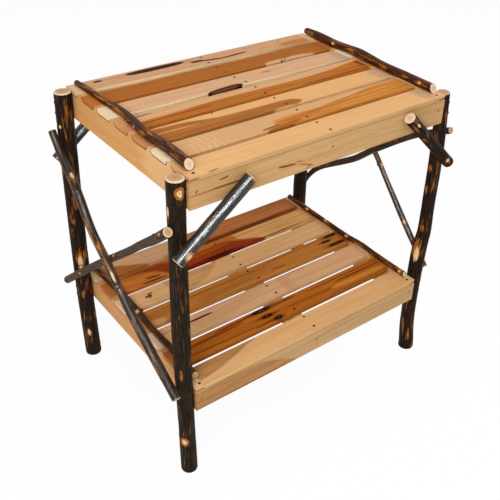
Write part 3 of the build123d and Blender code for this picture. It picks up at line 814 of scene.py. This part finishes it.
barked(
    "brace_front_left", GLOSSY_BRACE_BARK, BRACE_RELIEF, seed=21, chance_scuffs=2,
    scuffs=((256, 178, 12, 6),),
    pale=((257, 182, 8, 4), (258, 170, 6, 4)),
    knots=((189.7, 258, 5), (256, 177, 3)))
barked(
    "brace_front_right", BRACE_BARK, BRACE_RELIEF, seed=22, chance_scuffs=3,
    scuffs=((424.6, 140.5, 9, 5), (417, 122, 14, 7)),
    pale=((419.5, 125.6, 8, 4),),
    knots=((448, 160.5, 4),))
barked("brace_back_left", GLOSSY_BRACE_BARK, BRACE_RELIEF, seed=23)
barked("brace_back_right", BRACE_BARK, BRACE_RELIEF, seed=24)


# ---- End sticks -------------------------------------------------------------
# A thicker diagonal and a thin twig cross over each other at each end, nailed to
# the outer sides of the legs.
STICK_BARK = bark(
    "stick_bark", (30, 20, 13), (76, 54, 33), (190, 124, 54), grey=0.3, gloss=0.17,
    smooth=0.26, rub=0.7, pith=(214, 178, 132))
TWIG_BARK = bark(
    "twig_bark", (54, 40, 30), (98, 77, 58), (168, 106, 56), grey=0.3, gloss=0.08, rub=0.3)

barked(
    "left_diagonal", STICK_BARK, 0.5, seed=31,
    scuffs=((90, 234, 40, 4.5), (97, 247, 24, 5), (112, 276, 26, 5), (74, 178, 16, 5)),
    pale=((72, 175, 10, 4.5), (112.5, 277, 15, 3.5)),
    knots=((137, 311, 3),))
barked(
    "left_twig", TWIG_BARK, 0.45, seed=32,
    scuffs=((79.5, 273.5, 10, 5), (158.5, 235, 8, 4), (113, 256, 10, 5)),
    pale=((79.5, 273.5, 4, 3), (112.8, 255.6, 4.5, 3.5), (158.5, 234.5, 3, 2.5)))
barked(
    "right_diagonal", STICK_BARK, 0.4, seed=33,
    scuffs=((382, 164.6, 10, 5),),
    knots=((382, 164.6, 3), (404, 222, 3.5)))
barked(
    "right_twig", TWIG_BARK, 0.45, seed=34,
    scuffs=((396, 140.5, 8, 4), (437.3, 125.6, 8, 4), (327, 164.6, 8, 4), (308.7, 172, 8, 4)))


# ---- Rails ------------------------------------------------------------------
# Bent saplings planed flat underneath and nailed down along the ends of both
# decks, their front ends sawn on the slant. Much of the bark is rubbed to amber.
RAIL_RELIEF = 0.45
RAIL_BARK = bark(
    "rail_bark", (38, 18, 6), (98, 54, 18), (196, 116, 30), grey=0.1, gloss=0.1, smooth=0.12,
    rub=1.1, pith=(230, 200, 160))

barked(
    "top_rail_left", RAIL_BARK, RAIL_RELIEF, seed=41,
    scuffs=((100, 98, 40, 3.5), (112, 106, 40, 3), (122, 114, 34, 4), (150, 134, 30, 3.5),
            (172.7, 146, 16, 4)),
    pale=((133.5, 127, 5, 3.5),))
barked(
    "top_rail_right", RAIL_BARK, RAIL_RELIEF, seed=42,
    scuffs=((350, 50, 24, 4), (378, 62, 30, 4), (404, 76, 14, 4), (430, 88, 30, 3.5)),
    pale=((332.7, 43.5, 5, 3.5), (436.5, 92.5, 4, 3.5)),
    knots=((419, 83, 3),))
barked("shelf_rail_left", RAIL_BARK, RAIL_RELIEF, seed=43, knots=((137.2, 311.3, 4),))
barked(
    "shelf_rail_right", RAIL_BARK, RAIL_RELIEF, seed=44,
    scuffs=((360.4, 240.4, 14, 4), (325, 222, 10, 3)),
    knots=((307, 208.8, 3.5), (325.3, 220.3, 3.5), (346, 235.8, 3.5), (399, 271, 3.5)))


# ---- Nails ------------------------------------------------------------------
# Small dark wire nails: two through each slat into the batten, one near each end
# of the front slats, and three along each long apron, their heads partly filled.
# Partly painted shade: the heads are wider than a wire nail's, so their dark also covers the shade
# of the countersink round them.
HEAD_RADIUS = 3.3                   # mm, as are the other sizes here
APRON_HEAD_RADIUS = 3.2
HEAD_DEPTH = 0.5                    # it is driven half in
HEAD_TAPER = 0.8
HEAD_SIDES = 12
PLUG_RADIUS = 2.4
PLUG_LIFT = 0.15                    # that filler stands in front of the head behind it
PLUG_OFF = (0.7, -0.4)              # how far right and up of the head's middle it sits
ALONG_STRAY = 3                     # how far a nail may miss its mark
ASIDE_STRAY = 2.5
APRON_STRAY = 2
SLAT_COUNT = 7
FIRST_SLAT = -200                   # middle of the front slat of each deck
SLAT_PITCHES = {"top": 66.67, "shelf": 69.5}
MID_ROW = 5                         # x of the nails over the batten
NAIL_ASIDE = 18                     # from the middle of a slat
FRONT_NAIL = (290, -217)
APRON_NAILS = (-291, 4, 290)
FRONT_FACE = -228.5
APRON_ROWS = ((654.0, 228.5), (188.0, 245.5))   # height of the nails, y of the back face

nail_wear = random.Random(51)
steel = bmesh.new()
filler = bmesh.new()


def drive(batch, radius, x, y, z, facing):
    """One nail head or its filler, the flat top towards facing."""
    turn = Vector(facing).to_track_quat("Z", "Y").to_matrix().to_4x4()
    bmesh.ops.create_cone(
        batch, cap_ends=True, segments=HEAD_SIDES, radius1=radius * MM,
        radius2=HEAD_TAPER * radius * MM, depth=HEAD_DEPTH * MM,
        matrix=Matrix.Translation(Vector((x, y, z)) * MM) @ turn)


for deck, height in DECK_HEIGHTS.items():
    for number in range(SLAT_COUNT):
        middle = FIRST_SLAT + SLAT_PITCHES[deck] * number
        for aside in (-NAIL_ASIDE, NAIL_ASIDE):
            drive(
                steel, HEAD_RADIUS, MID_ROW + nail_wear.uniform(-ALONG_STRAY, ALONG_STRAY),
                middle + aside + nail_wear.uniform(-ASIDE_STRAY, ASIDE_STRAY), height,
                (0, 0, 1))
    for side in (-1, 1):
        drive(steel, HEAD_RADIUS, side * FRONT_NAIL[0], FRONT_NAIL[1], height, (0, 0, 1))
for height, back_face in APRON_ROWS:
    for x in APRON_NAILS:
        for face, out in ((FRONT_FACE, -1), (back_face, 1)):
            z = height + nail_wear.uniform(-APRON_STRAY, APRON_STRAY)
            drive(steel, APRON_HEAD_RADIUS, x, face, z, (0, out, 0))
            drive(
                filler, PLUG_RADIUS, x + PLUG_OFF[0], face + out * PLUG_LIFT, z + PLUG_OFF[1],
                (0, out, 0))


def speckled(name, grit, spread, dark, light, rough, rougher, metallic=0.0):
    """A dull stuff with grit specks to the millimetre, running from dark to light."""
    stuff = Finish(bpy.data.materials.new(name))
    speck = stuff.noise(*(part * grit for part in stuff.place()), 3)
    stuff.dress(
        Base_Color=stuff.mix(speck.rise(*spread), paint(dark), paint(light)),
        Roughness=rough + speck * rougher, Metallic=metallic, Specular_IOR_Level=0.1)
    return stuff.owner


NAIL_STEEL = speckled(
    "dark_nail_steel", 0.9, (0.4, 0.65), (26, 14, 8), (52, 30, 18), 0.5, 0.3, metallic=0.1)
nail_heads = new_piece("nail_heads", steel)
nail_heads.data.materials.append(NAIL_STEEL)
nodes["leg_nails"].data.materials.clear()
nodes["leg_nails"].data.materials.append(NAIL_STEEL)
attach(nail_heads, "root")

nail_fillings = new_piece("nail_fillings", filler)
nail_fillings.data.materials.append(speckled(
    "wood_filler", 0.8, (0.4, 0.6), (176, 124, 84), (214, 166, 120), 0.6, 0.2))
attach(nail_fillings, "root")
